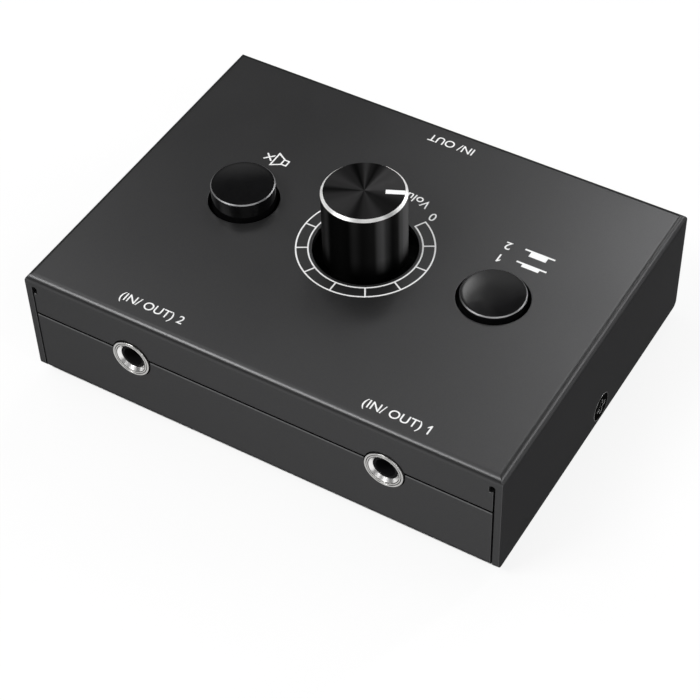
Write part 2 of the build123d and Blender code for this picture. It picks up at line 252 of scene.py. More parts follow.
class Effects:
    """Surface effects that several finishes share, each a node group that is built once."""

    made: dict[str, bpy.types.NodeTree] = {}
    grain_contrast: Point = (0.3, 0.7)
    patch_contrast: Point = (0.35, 0.65)
    ring_contrast: Point = (0.35, 0.65)
    edge_facing: Point = (0.998, 0.8)

    @classmethod
    def start(
        cls, name: str, inputs: dict[str, float | Vector], outputs: tuple[str, ...],
    ) -> tuple[Tree, dict[str, Socket]]:
        """Opens a new group.

        Args:
            name: name of the group.
            inputs: input names with their first values, numbers or vectors.
            outputs: names of the values that the group gives.

        Returns:
            The group's tree and its input sockets by name.
        """
        group = bpy.data.node_groups.new(name, "ShaderNodeTree")
        for label, value in inputs.items():
            kind = "NodeSocketVector" if isinstance(value, Vector) else "NodeSocketFloat"
            group.interface.new_socket(name=label, in_out="INPUT", socket_type=kind).default_value = value
        for label in outputs:
            group.interface.new_socket(name=label, in_out="OUTPUT", socket_type="NodeSocketFloat")
        cls.made[name] = group
        tree = Tree(group)
        entry = tree.add("NodeGroupInput")
        return tree, {label: entry.outputs[label] for label in inputs}

    @classmethod
    def place(cls, tree: Tree, name: str, inputs: Inputs) -> dict[str, Socket]:
        """Puts a group into a material's tree with its own values.

        Args:
            tree: tree of the material.
            name: name of a group that was built.
            inputs: values or sockets by input name.

        Returns:
            What the group gives, by name.
        """
        return dict(tree.add("ShaderNodeGroup", inputs, node_tree=cls.made[name]).outputs.items())

    @classmethod
    def build(cls) -> None:
        """Builds every shared effect."""
        cls.fine_grain()
        cls.handling()
        cls.edge_wear_and_highlight()
        cls.turned_rings()

    @staticmethod
    def noise(tree: Tree, size: Socket, shape: Inputs) -> Socket:
        """Adds noise on the piece.

        Args:
            tree: tree of the group.
            size: size of its patches in metres.
            shape: other inputs of the noise by name.

        Returns:
            The value of the noise.
        """
        inputs = {"Vector": tree.place(), "Scale": tree.math("DIVIDE", 1.0, size), **shape}
        return tree.add("ShaderNodeTexNoise", inputs).outputs[0]

    @classmethod
    def fine_grain(cls) -> None:
        """Fine grain of paint, moulding or plating: a tone and a height, at a grain size in metres."""
        tree, given = cls.start("Fine grain", {"Size": 0.1 * MM}, ("Tone", "Height"))
        height = cls.noise(tree, given["Size"], {"Detail": 3.0, "Roughness": 0.6})
        tree.add("NodeGroupOutput", {"Tone": tree.span(height, cls.grain_contrast), "Height": height})

    @classmethod
    def handling(cls) -> None:
        """Soft uneven patches left by handling and cleaning, at a patch size in metres."""
        tree, given = cls.start("Handling", {"Size": 12 * MM}, ("Mask",))
        patches = cls.noise(tree, given["Size"], {"Detail": 5.0, "Distortion": 0.6})
        tree.add("NodeGroupOutput", {"Mask": tree.span(patches, cls.patch_contrast)})

    @classmethod
    def edge_wear_and_highlight(cls) -> None:
        """Edges within a width in metres, which finishes lighten as coating wear and as a painted
        highlight.
        """
        tree, given = cls.start("Edge wear and highlight", {"Width": 0.2 * MM}, ("Mask",))
        flat = tree.add("ShaderNodeNewGeometry").outputs["Normal"]
        facing = tree.measure("DOT_PRODUCT", tree.eased_normal(given["Width"]), flat)
        tree.add("NodeGroupOutput", {"Mask": tree.span(facing, cls.edge_facing)})

    @classmethod
    def turned_rings(cls) -> None:
        """Rings left by a cutting tool about an axis: a tone and a height, at a pitch in metres."""
        inputs = {"Centre": Vector(), "Across": Vector(Turned.UPRIGHT.value), "Pitch": 0.1 * MM}
        tree, given = cls.start("Turned rings", inputs, ("Tone", "Height"))
        turns = tree.math("DIVIDE", tree.radius(given["Centre"], given["Across"]), given["Pitch"])
        rings = {"W": turns, "Scale": 1.0, "Detail": 2.0}
        height = tree.add("ShaderNodeTexNoise", rings, noise_dimensions="1D").outputs[0]
        tree.add("NodeGroupOutput", {"Tone": tree.span(height, cls.ring_contrast), "Height": height})


# Finishes


@dataclass(frozen=True)
class Finish:
    """A finish of one material slot: two tones through a fine grain, uneven gloss and eased edges.

    Grain, patches and edge_width are sizes on the surface, and relief is the depth of the grain. Grazing is
    how bright the sheen is at a low angle. Edge is the share of a lighter tone on edges, coating wear and a
    painted highlight together, and that tone is edge_wear_and_highlight_gain times the light one.
    """

    name: str
    colour: Colour
    light: Colour
    roughness: Point
    grain: float
    relief: float
    metallic: float = 0.0
    specular: float = 0.5
    grazing: float = 1.0
    patches: float = 12 * MM
    edge: float = 0.0
    edge_wear_and_highlight_gain: float = 3.0
    edge_width: float = 0.15 * MM

    def open(self) -> tuple[bpy.types.Material, Tree, bpy.types.Node]:
        """Opens the material with its shader.

        Returns:
            The material, its tree and its Principled BSDF node.
        """
        material = bpy.data.materials.new("finish_" + self.name)
        material.use_nodes = True
        material.node_tree.nodes.clear()
        tree = Tree(material.node_tree)
        shader = tree.add("ShaderNodeBsdfPrincipled", {
            "Metallic": self.metallic,
            "Specular IOR Level": self.specular,
            "Specular Tint": (self.grazing, self.grazing, self.grazing, 1.0),
        })
        tree.add("ShaderNodeOutputMaterial", {"Surface": shader.outputs[0]})
        return material, tree, shader

    def tone(self, tree: Tree) -> tuple[Socket, Socket]:
        """Tone and height of the surface's grain."""
        grain = Effects.place(tree, "Fine grain", {"Size": self.grain})
        return grain["Tone"], grain["Height"]

    def paint(self, tree: Tree, tone: Socket) -> Socket:
        """Colour of the surface.

        Args:
            tree: tree of the material.
            tone: tone of the grain.

        Returns:
            The colour, lighter in the grain, and lighter on the edges as wear and a painted highlight.
        """
        colour = tree.blend(tone, self.colour, self.light)
        if self.edge == 0.0:
            return colour
        # Edges take a lighter tone where the mask is: coating wear and a painted highlight.
        mask = Effects.place(tree, "Edge wear and highlight", {"Width": self.edge_width})["Mask"]
        wear_and_highlight_tone = tuple(min(1.0, self.edge_wear_and_highlight_gain * part) for part in self.light)
        return tree.blend(tree.math("MULTIPLY", mask, self.edge), colour, wear_and_highlight_tone)

    def surface(self, tree: Tree, shader: bpy.types.Node, height: Socket) -> None:
        """Sets the uneven gloss, the eased edges and the relief.

        Args:
            tree: tree of the material.
            shader: its Principled BSDF node.
            height: height of the grain.
        """
        patches = Effects.place(tree, "Handling", {"Size": self.patches})["Mask"]
        tree.feed(shader.inputs["Roughness"], tree.span(patches, (0.0, 1.0), self.roughness))
        eased_normal = tree.eased_normal(self.edge_width)
        inputs = {"Strength": 1.0, "Distance": self.relief, "Height": height, "Normal": eased_normal}
        tree.feed(shader.inputs["Normal"], tree.add("ShaderNodeBump", inputs).outputs[0])

    def rise(self, tree: Tree) -> Socket:
        """How far the surface faces up, from -1 to 1."""
        return tree.parts(tree.add("ShaderNodeNewGeometry").outputs["True Normal"])["Z"]

    def ease_rim(self, tree: Tree, shader: bpy.types.Node, rim: Socket, roughness: float) -> None:
        """Gives a rim its own roughness.

        Args:
            tree: tree of the material.
            shader: its Principled BSDF node, with the rest of the surface set.
            rim: mask of the rim.
            roughness: roughness of the rim.
        """
        gloss = shader.inputs["Roughness"]
        rest = gloss.links[0].from_socket
        tree.feed(gloss, tree.add("ShaderNodeMix", {"Factor": rim, "A": rest, "B": roughness}).outputs[0])

    def material(self) -> bpy.types.Material:
        """Builds the material.

        Returns:
            The material.
        """
        material, tree, shader = self.open()
        tone, height = self.tone(tree)
        tree.feed(shader.inputs["Base Color"], self.paint(tree, tone))
        self.surface(tree, shader, height)
        return material


@dataclass(frozen=True)
class SeamFinish(Finish):
    """Paint of a tray with a painted highlight in a thin band under the seam and painted shade on its top
    edge in the seam.
    """

    node: str = ""
    # Rim is the colour of the painted highlight under the seam; the dark colour below is the painted shade
    # on the tray's top edge.
    rim: Colour = (0.14, 0.14, 0.142)
    seam_highlight_depth: float = 0.36 * MM
    seam_shade_colour: Colour = (0.004, 0.004, 0.004)
    seam_shade_depth: float = 0.03 * MM

    def paint(self, tree: Tree, tone: Socket) -> Socket:
        """Colour of the paint.

        Args:
            tree: tree of the material.
            tone: tone of the grain.

        Returns:
            The colour, with a painted highlight on the rim and painted shade on the top edge.
        """
        height = tree.parts(tree.place())["Z"]
        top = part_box(self.node)[1].z
        # A painted highlight in a band just below the top, and painted shade on the top edge itself.
        rim = tree.math("GREATER_THAN", height, top - self.seam_highlight_depth)
        seam_shade_colour = tree.math("GREATER_THAN", height, top - self.seam_shade_depth)
        return tree.blend(seam_shade_colour, tree.blend(rim, super().paint(tree, tone), self.rim), self.seam_shade_colour)


@dataclass(frozen=True)
class TurnedFinish(Finish):
    """A finish of a piece turned on a lathe, with rings about the middle of one node."""

    node: str = ""
    turned: Turned = Turned.UPRIGHT

    def tone(self, tree: Tree) -> tuple[Socket, Socket]:
        """Tone and height of the rings.

        Args:
            tree: tree of the material.

        Returns:
            The tone and the height.
        """
        inputs = {"Centre": centre(self.node), "Across": self.turned.value, "Pitch": self.grain}
        rings = Effects.place(tree, "Turned rings", inputs)
        return rings["Tone"], rings["Height"]


@dataclass(frozen=True)
class BushFinish(TurnedFinish):
    """Plating of a jack's bush, brighter in its flared mouth: a painted highlight."""

    mouth: float = 0.0
    # Colour of the plating inside the mouth, bright as a painted highlight.
    painted_mouth_highlight: Colour = (0.88, 0.875, 0.865)

    def paint(self, tree: Tree, tone: Socket) -> Socket:
        """Colour of the plating.

        Args:
            tree: tree of the material.
            tone: tone of the rings.

        Returns:
            The colour, with a painted highlight inside the rim of the mouth.
        """
        inside = tree.math("LESS_THAN", tree.radius(centre(self.node), self.turned.value), self.mouth)
        return tree.blend(inside, super().paint(tree, tone), self.painted_mouth_highlight)


@dataclass(frozen=True)
class KnobFinish(TurnedFinish):
    """Black anodised knob: spun top, side and a bright machined bevel, with light and shade painted on.

    The two angle lists give degrees about the axis with the share of painted light at each: fan-shaped
    painted reflections on the top, and vertical painted highlights on the side, which fade to painted shade
    over the foot above the panel. The top faces up more than top_rise, and the bevel faces up as a slant
    does, give or take bevel_band.
    """

    # Light tone of the top: the painted reflection in fan shapes, and the light tone of the turned rings.
    top_sheen_and_rings: Colour = (0.06, 0.059, 0.06)
    bright: Colour = (0.97, 0.97, 0.96)
    bright_roughness: float = 0.55
    anisotropy: float = 0.9
    anisotropy_turn: float = 0.25
    top_rise: float = 0.95
    bevel_band: float = 0.15
    ring_share: float = 0.06
    # Height over the panel in which the painted highlights of the side fade to painted shade.
    foot: float = 3.4 * MM
    painted_fans: tuple[Point, ...] = ()
    painted_streaks: tuple[Point, ...] = ()

    def painted_light_by_angle(self, tree: Tree, shares: tuple[Point, ...]) -> Socket:
        """Share of painted light by the angle about the knob's axis.

        Args:
            tree: tree of the material.
            shares: angles in degrees and the share at each.

        Returns:
            A value from 0, painted shade, to 1, painted highlight.
        """
        arm = tree.parts(tree.vector("SUBTRACT", tree.place(), centre(self.node)))
        turn = tree.math("DIVIDE", tree.math("ARCTAN2", arm["Y"], arm["X"]), math.tau)
        ramp = tree.add("ShaderNodeValToRGB", {0: tree.math("FRACT", tree.math("ADD", turn, 1.0))})
        ramp.color_ramp.interpolation = "EASE"
        stops = ramp.color_ramp.elements
        ready = len(stops)
        for index, (degrees, share) in enumerate(shares):
            position = degrees / 360.0
            stop = stops[index] if index < ready else stops.new(position)
            stop.position = position
            stop.color = (share, share, share, 1.0)
        return ramp.outputs[0]

    def above_painted_foot_shade(self, tree: Tree) -> Socket:
        """Share from 0 at the panel to 1 at the top of the knob's foot, over which the side's painted
        highlights fade to painted shade.
        """
        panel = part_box("top_cover")[1].z
        return tree.span(tree.parts(tree.place())["Z"], (panel, panel + self.foot))

    def material(self) -> bpy.types.Material:
        """Builds the material, with the top and the bevel told apart by the way they face.

        Returns:
            The material.
        """
        material, tree, shader = self.open()
        shader.inputs["Anisotropic"].default_value = self.anisotropy
        shader.inputs["Anisotropic Rotation"].default_value = self.anisotropy_turn
        tangent = tree.add("ShaderNodeTangent", direction_type="RADIAL", axis="Z").outputs[0]
        tree.feed(shader.inputs["Tangent"], tangent)
        rise = self.rise(tree)
        top = tree.math("GREATER_THAN", rise, self.top_rise)
        bevel = tree.math("COMPARE", rise, SLANT, self.bevel_band)
        tone, height = self.tone(tree)
        # Vertical painted highlights on the side, fading to painted shade towards the panel.
        side_highlight = tree.math("MULTIPLY", self.painted_light_by_angle(tree, self.painted_streaks), self.above_painted_foot_shade(tree))
        side = tree.blend(side_highlight, self.colour, self.light)
        # Fan-shaped painted reflections on the top, with the tone of the turned rings over them.
        spun = tree.blend(self.painted_light_by_angle(tree, self.painted_fans), self.colour, self.top_sheen_and_rings)
        spun = tree.blend(tree.math("MULTIPLY", tone, self.ring_share), spun, self.top_sheen_and_rings)
        colour = tree.blend(bevel, tree.blend(top, side, spun), self.bright)
        tree.feed(shader.inputs["Base Color"], colour)
        self.surface(tree, shader, height)
        self.ease_rim(tree, shader, bevel, self.bright_roughness)
        return material


@dataclass(frozen=True)
class RimFinish(Finish):
    """Gloss moulding whose bevelled rim is pale and metallic: a painted highlight."""

    # Pale metallic colour of the rim, which stands in for the highlight along the rim: a painted highlight.
    rim: Colour = (0.26, 0.26, 0.265)
    rim_roughness: float = 0.42
    rim_band: float = 0.1

    def material(self) -> bpy.types.Material:
        """Builds the material, with the rim told by the way it faces.

        Returns:
            The material.
        """
        material, tree, shader = self.open()
        tone, height = self.tone(tree)
        # The rim takes the pale metallic colour of the painted highlight.
        rim = tree.math("COMPARE", self.rise(tree), SLANT, self.rim_band)
        tree.feed(shader.inputs["Base Color"], tree.blend(rim, self.paint(tree, tone), self.rim))
        tree.feed(shader.inputs["Metallic"], rim)
        self.surface(tree, shader, height)
        self.ease_rim(tree, shader, rim, self.rim_roughness)
        return material


@dataclass(frozen=True)
class FloorFinish(Finish):
    """Pale studio floor with a glow of its own, so that it shows white and keeps a soft shadow."""

    glow: float = 0.85
    glow_colour: Colour = (1.0, 1.0, 1.0)
    inset: Point = (1.0 * MM, 1.5 * MM)

    def beside_box(self, tree: Tree) -> Socket:
        """Mask of the floor that isn't under the box, which leaves the floor there in the dark.

        Args:
            tree: tree of the material.

        Returns:
            A value of 0 under the box and 1 beside it.
        """
        place = tree.parts(tree.place())
        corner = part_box("top_cover")[1]
        across = tree.math("GREATER_THAN", tree.math("ABSOLUTE", place["X"]), corner.x - self.inset[0])
        along = tree.math("GREATER_THAN", tree.math("ABSOLUTE", place["Y"]), corner.y - self.inset[1])
        return tree.math("MAXIMUM", across, along)

    def material(self) -> bpy.types.Material:
        """Builds the material, whose glow is seen directly and in mirrors but lights nothing.

        Returns:
            The material.
        """
        material = super().material()
        tree = Tree(material.node_tree)
        output = next(node for node in tree.tree.nodes if node.type == "OUTPUT_MATERIAL")
        end = output.inputs["Surface"]
        lit = end.links[0].from_socket
        rays = tree.add("ShaderNodeLightPath").outputs
        seen = tree.math("MAXIMUM", rays["Is Camera Ray"], rays["Is Glossy Ray"])
        seen = tree.math("MAXIMUM", seen, rays["Is Transmission Ray"])
        share = tree.math("MULTIPLY", tree.math("MULTIPLY", seen, self.glow), self.beside_box(tree))
        glow = tree.add("ShaderNodeEmission", {"Color": (*self.glow_colour, 1.0)}).outputs[0]
        tree.feed(end, tree.add("ShaderNodeMixShader", {0: share, 1: lit, 2: glow}).outputs[0])
        return material


@dataclass(frozen=True)
class BoardFinish(Finish):
    """Circuit board: black solder mask over a faint grid of copper tracks."""

    track: Colour = (0.02, 0.021, 0.019)
    track_pitch: float = 2.54 * MM

    def material(self) -> bpy.types.Material:
        """Builds the material.

        Returns:
            The material.
        """
        material, tree, shader = self.open()
        tone, height = self.tone(tree)
        grid = {"Mortar Size": 0.08, "Brick Width": 4.0, "Row Height": 1.0}
        inputs = {"Vector": tree.place(), "Scale": 1.0 / self.track_pitch, **grid}
        tracks = tree.add("ShaderNodeTexBrick", inputs).outputs["Fac"]
        tree.feed(shader.inputs["Base Color"], tree.blend(tracks, self.paint(tree, tone), self.track))
        self.surface(tree, shader, tree.math("ADD", height, tracks))
        return material


# Its edge share puts a lighter tone along the sharp edges of the sheets and at the seam: wear and a painted
# highlight together.
SATIN_PAINT = Finish(
    "case_paint", (0.06, 0.06, 0.061), (0.071, 0.071, 0.072), (0.29, 0.33), 0.12 * MM, 0.003 * MM,
    metallic=0.8, specular=0.0, grazing=0.29, patches=30 * MM, edge=0.35, edge_width=0.2 * MM,
)
# Tray paint: the satin paint with a painted highlight and painted shade at the seam.
TRAY_PAINT = SeamFinish(**asdict(SATIN_PAINT), node="bottom_tray")
# Its edge tone, many times its light one, is a painted highlight round the head and the recess.
BLACKED_SCREW = Finish(
    "case_screw", (0.012, 0.012, 0.012), (0.02, 0.02, 0.02), (0.3, 0.42), 0.1 * MM, 0.002 * MM,
    metallic=0.8, specular=0.0, grazing=0.1, edge=1.0, edge_wear_and_highlight_gain=20.0, edge_width=0.22 * MM,
)
FOOT_RUBBER = Finish(
    "foot_rubber", (0.014, 0.014, 0.014), (0.024, 0.024, 0.024), (0.75, 0.88), 0.3 * MM, 0.02 * MM,
)
PLATED_STEEL = Finish(
    "plated_steel", (0.55, 0.55, 0.53), (0.66, 0.66, 0.64), (0.28, 0.42), 0.25 * MM, 0.002 * MM,
    metallic=1.0,
)
SOLDER_MASK = BoardFinish(
    "board_black", (0.008, 0.009, 0.0085), (0.012, 0.013, 0.0125), (0.3, 0.45), 0.4 * MM, 0.01 * MM,
)
MOULDED_BLACK = Finish(
    "moulded_black", (0.006, 0.006, 0.0065), (0.01, 0.01, 0.0105), (0.45, 0.58), 0.15 * MM, 0.006 * MM,
    specular=0.03,
)
CONTACT_BRASS = Finish(
    "contact_brass", (0.6, 0.43, 0.17), (0.7, 0.53, 0.25), (0.25, 0.4), 0.2 * MM, 0.002 * MM,
    metallic=1.0,
)
TINNED_PIN = Finish(
    "tinned_pin", (0.6, 0.6, 0.6), (0.72, 0.72, 0.72), (0.22, 0.4), 0.2 * MM, 0.002 * MM,
    metallic=1.0,
)
LAMINATE = Finish(
    "element_brown", (0.12, 0.06, 0.025), (0.18, 0.1, 0.045), (0.5, 0.65), 0.2 * MM, 0.004 * MM,
)
SHAFT_ALUMINIUM = TurnedFinish(
    "bare_aluminium", (0.66, 0.66, 0.67), (0.78, 0.78, 0.79), (0.25, 0.35), 0.12 * MM, 0.002 * MM,
    metallic=1.0, node="pot_shaft",
)
POINTER_WHITE = Finish(
    "pointer_white", (0.86, 0.86, 0.86), (0.92, 0.92, 0.92), (0.5, 0.6), 0.2 * MM, 0.003 * MM,
)
PLUNGER_WHITE = Finish(
    "plunger_white", (0.62, 0.62, 0.58), (0.7, 0.7, 0.66), (0.4, 0.52), 0.2 * MM, 0.004 * MM,
)
BUTTON_GLOSS = RimFinish(
    "button_black", (0.003, 0.003, 0.0033), (0.005, 0.005, 0.0053), (0.1, 0.16), 0.5 * MM, 0.0006 * MM,
    specular=0.33, patches=5 * MM, edge_width=0.03 * MM,
)
# Its light tone is the colour of the painted highlights on the side; the angle lists place painted
# highlights on the side and painted reflections on the top.
KNOB_BLACK = KnobFinish(
    "knob_anodised", (0.003, 0.003, 0.003), (0.12, 0.12, 0.121), (0.46, 0.52), 0.09 * MM, 0.0012 * MM,
    metallic=1.0, grazing=0.6, node="knob_shell", edge_width=0.05 * MM,
    painted_streaks=(
        (0.0, 1.0), (7.0, 1.0), (24.0, 0.5), (40.0, 0.12), (90.0, 0.3), (120.0, 0.1), (150.0, 0.6),
        (180.0, 0.1), (230.0, 0.12), (241.0, 0.4), (250.0, 0.0), (278.0, 0.0), (287.0, 0.2), (298.0, 0.05),
        (312.0, 0.1), (319.0, 0.75), (324.0, 0.9), (331.0, 0.5), (340.0, 0.1), (348.0, 0.12), (355.0, 0.7),
    ),
    painted_fans=(
        (0.0, 0.12), (20.0, 0.25), (38.0, 0.85), (60.0, 1.0), (80.0, 0.7), (92.0, 0.15), (100.0, 0.0),
        (108.0, 0.2), (117.0, 0.85), (126.0, 0.2), (133.0, 0.0), (148.0, 0.45), (170.0, 0.7), (192.0, 0.3),
        (205.0, 0.0), (222.0, 0.45), (245.0, 0.7), (270.0, 0.35), (286.0, 0.12), (302.0, 0.5), (317.0, 0.8),
        (338.0, 0.3), (355.0, 0.12),
    ),
)
PRINT_WHITE = Finish(
    "print_white", (0.86, 0.86, 0.86), (0.93, 0.93, 0.93), (0.45, 0.55), 0.15 * MM, 0.001 * MM,
)
STUDIO_FLOOR = FloorFinish(
    "floor", (0.93, 0.93, 0.93), (0.96, 0.96, 0.96), (0.85, 0.95), 40 * MM, 0.01 * MM, specular=0.0,
)


def jack_nickel(jack: str, mouth: float) -> BushFinish:
    """Nickel plating of one jack's bush, with rings about its axis.

    Args:
        jack: name of the jack.
        mouth: radius of the flared mouth at its rim.

    Returns:
        The finish.
    """
    return BushFinish(
        "nickel", (0.44, 0.435, 0.425), (0.57, 0.565, 0.555), (0.26, 0.33), 0.08 * MM, 0.0012 * MM,
        metallic=1.0, node=jack + "_bush", turned=Turned.LYING, edge_width=0.03 * MM, mouth=mouth,
    )


# Pieces


def dress(finish: Finish, *nodes: str) -> None:
    """Gives nodes of the frame one material.

    Args:
        finish: finish of the material.
        *nodes: names of the nodes.
    """
    material = finish.material()
    for node in nodes:
        mesh = frame["nodes"][node].data
        mesh.materials.clear()
        mesh.materials.append(material)
        LOG.info("dressed %s with %s", node, material.name)


def placed(name: str, mesh: bpy.types.Mesh, material: bpy.types.Material) -> bpy.types.Object:
    """Makes a piece of a mesh.

    Args:
        name: name of the piece.
        mesh: its mesh, in place.
        material: its material.

    Returns:
        The piece, not yet joined to a body.
    """
    mesh.materials.append(material)
    piece = linked(name, mesh)
    LOG.info("built %s: %d faces", name, len(mesh.polygons))
    return piece


def finished(
    name: str, mesh: bpy.types.Mesh, material: bpy.types.Material, body: str,
) -> bpy.types.Object:
    """Makes a piece of a mesh and lets it ride on a body.

    Args:
        name: name of the piece.
        mesh: its mesh, in place.
        material: its material.
        body: body of the frame that it moves with.

    Returns:
        The piece.
    """
    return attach(placed(name, mesh, material), body)


def eased(corners: list[Corner], steps: int = 6) -> list[Point]:
    """Rounds the corners of a profile.

    Args:
        corners: two coordinates and the rounding radius of each corner; the ends stay as they are.
        steps: pieces that each rounding is made of.

    Returns:
        Points of the eased profile.
    """
    points: list[Point] = [corners[0][:2]]
    for before, corner, after in zip(corners, corners[1:], corners[2:]):
        here, radius = Vector(corner[:2]), corner[2]
        back = (Vector(before[:2]) - here).normalized()
        ahead = (Vector(after[:2]) - here).normalized()
        half = back.angle(ahead) / 2
        if radius == 0.0 or half > NEARLY_STRAIGHT:
            points.append(tuple(here))
            continue
        middle = here + (back + ahead).normalized() * (radius / math.sin(half))
        start = here + back * (radius / math.tan(half)) - middle
        end = here + ahead * (radius / math.tan(half)) - middle
        sweep = start.angle_signed(end)
        for i in range(steps + 1):
            points.append(tuple(middle + Matrix.Rotation(-sweep * i / steps, 2) @ start))
    points.append(corners[-1][:2])
    return points


def lathe(name: str, profile: list[Point], place: Matrix, turns: int = 144) -> bpy.types.Mesh:
    """Turns a profile about an axis into a closed mesh.

    Args:
        name: name of the mesh.
        profile: radius and height of its points, from axis to axis or round to the first point again.
        place: where the axis stands; its Z is the axis.
        turns: number of steps round the axis.

    Returns:
        The mesh, smooth except at its sharp edges.
    """
    built = bmesh.new()
    rows = []
    ring = profile[0] == profile[-1]
    for radius, height in profile[:-1] if ring else profile:
        steps = turns if radius > ON_AXIS else 1
        angles = [math.tau * i / turns for i in range(steps)]
        row = [built.verts.new((radius * math.cos(a), radius * math.sin(a), height)) for a in angles]
        rows.append(row if steps > 1 else row * turns)
    if ring:
        rows.append(rows[0])
    for low, high in zip(rows, rows[1:]):
        for i in range(turns):
            j = (i + 1) % turns
            face = dict.fromkeys((low[i], low[j], high[j], high[i]))
            if len(face) > 2:
                built.faces.new(face)
    bmesh.ops.recalc_face_normals(built, faces=built.faces)
    mesh = bpy.data.meshes.new(name)
    built.to_mesh(mesh)
    built.free()
    mesh.transform(place)
    mesh.shade_smooth()
    mesh.set_sharp_from_angle(angle=SHARP_EDGE)
    return mesh


@dataclass
class Case:
    """Folded cover and tray, side screws, feet and the board inside with its supports."""

    plated: tuple[str, ...] = ("standoffs", "board_screws")

    def build(self) -> None:
        """Dresses the sheets and what holds them together."""
        dress(SATIN_PAINT, "top_cover")
        dress(TRAY_PAINT, "bottom_tray")
        dress(PLATED_STEEL, *self.plated)
        dress(BLACKED_SCREW, "side_screws")
        dress(FOOT_RUBBER, "feet")
        dress(SOLDER_MASK, "board")


@dataclass
class VolumeDial:
    """Knob with its pointer and insert, and the potentiometer under it."""

    moulded: tuple[str, ...] = ("knob_insert", "pot_housing")

    def build(self) -> None:
        """Dresses the knob and the potentiometer."""
        dress(KNOB_BLACK, "knob_shell")
        dress(POINTER_WHITE, "knob_pointer")
        dress(MOULDED_BLACK, *self.moulded)
        dress(SHAFT_ALUMINIUM, "pot_shaft")
        dress(LAMINATE, "pot_element")
        dress(CONTACT_BRASS, "pot_wiper")
        dress(TINNED_PIN, "pot_terminals")


@dataclass
class PushButton:
    """A push-push switch with its round glossy cap."""

    name: str
    bevel: float = 0.2 * MM
    ease: float = 0.04 * MM
    dish: float = 0.2 * MM
    dish_share: float = 0.9
    wall: float = 1.1 * MM
    rings: int = 18

    def cap(self) -> None:
        """Turns the cap: skirt, bevelled rim and dished top, in place of the plain solid."""
        node = self.name + "_button"
        low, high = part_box(node)
        radius = (high.x - low.x) / 2
        rim = radius - self.bevel
        inside = radius - self.wall
        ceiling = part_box(self.name + "_plunger")[1].z
        sphere = (rim ** 2 + self.dish ** 2) / (2 * self.dish)
        start = self.dish_share * rim
        profile = eased([
            (0.0, ceiling, 0.0), (inside, ceiling, self.ease), (inside, low.z, self.ease),
            (radius, low.z, self.ease), (radius, high.z - self.bevel, self.ease), (rim, high.z, self.ease),
            (start, high.z - (1 - self.dish_share ** 2) * self.dish, 0.0),
        ])
        for i in range(1, self.rings + 1):
            reach = start * (1 - i / self.rings)
            profile.append((reach, high.z - self.dish + sphere - math.sqrt(sphere ** 2 - reach ** 2)))
        middle = centre(node)
        mesh = lathe(self.name + "_cap", profile, Matrix.Translation((middle.x, middle.y, 0.0)))
        gloss = BUTTON_GLOSS.material()
        piece = finished(self.name + "_cap", mesh, gloss, self.name + "_key")
        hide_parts(node)

    def spring(self) -> None:
        """Copies the return spring in its own material and hides the plain one.

        A spring that can only be pressed rides on the case with a mesh of its own; one that also stretches
        stays in place, with its placing baked into its mesh.
        """
        node, joint = self.name + "_spring", self.name + "_press"
        mesh = frame["nodes"][node].data.copy()
        mesh.materials.clear()
        piece = placed(self.name + "_return_spring", mesh, PLATED_STEEL.material())
        up, down = next(j["range_m"] for j in frame["joints"] if j["name"] == joint)
        if up == 0.0:
            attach(piece, "case")
            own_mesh(piece)
        else:
            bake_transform(piece)
        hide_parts(node)

    def build(self) -> None:
        """Builds the cap and the spring and dresses the switch."""
        self.cap()
        self.spring()
        dress(PLUNGER_WHITE, self.name + "_plunger")
        dress(TINNED_PIN, self.name + "_terminals")
        dress(MOULDED_BLACK, self.name + "_housing", self.name + "_base")


@dataclass
class Jack:
    """A jack: plated bush, moulded housing and brass contacts."""

    name: str
    side: Side
    collar: float = 2.5 * MM
    neck_radius: float = 2.6 * MM
    bore_radius: float = 2.3 * MM
    lip: float = 0.34 * MM
    groove: float = 0.13 * MM
    groove_depth: float = 0.42 * MM
    ring: float = 0.2 * MM
    setback: float = 0.06 * MM
    mouth: float = 0.66 * MM
    ease: float = 0.14 * MM

    def bush(self) -> None:
        """Turns the bush in place of the plain solid: lip, inner ring, flared mouth, collar and neck."""
        node = self.name + "_bush"
        low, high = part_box(node)
        radius, length = (high.x - low.x) / 2, high.y - low.y
        bore, neck = self.bore_radius, self.neck_radius
        lip = radius - self.lip
        ring = lip - self.groove
        inner = ring - self.ring
        flare = inner - self.groove
        corners = [
            (bore, length, 0.0), (neck, length, 0.0), (neck, self.collar, 0.0), (radius, self.collar, 0.0),
            (radius, 0.0, self.ease), (lip, 0.0, self.ease),
            (lip - self.groove / 2, self.groove_depth, 0.0), (ring, self.setback, 0.0),
            (inner, self.setback, 0.0), (inner - self.groove / 2, self.groove_depth, 0.0),
            (flare, 2 * self.setback, 0.0), (bore, self.mouth, 0.0), (bore, length, 0.0),
        ]
        middle = centre(node)
        face = Vector((middle.x, low.y if self.side is Side.FRONT else high.y, middle.z))
        turn = Matrix.Rotation(self.side.value, 4, "Z") @ Matrix.Rotation(math.radians(-90.0), 4, "X")
        mesh = lathe(node + "_turned", eased(corners), Matrix.Translation(face) @ turn)
        nickel = jack_nickel(self.name, flare).material()
        piece = finished(node + "_turned", mesh, nickel, "case")
        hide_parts(node)

    def build(self) -> None:
        """Builds the bush and dresses the rest of the jack."""
        self.bush()
        dress(MOULDED_BLACK, self.name + "_housing")
        dress(CONTACT_BRASS, self.name + "_contacts")


# Panel print


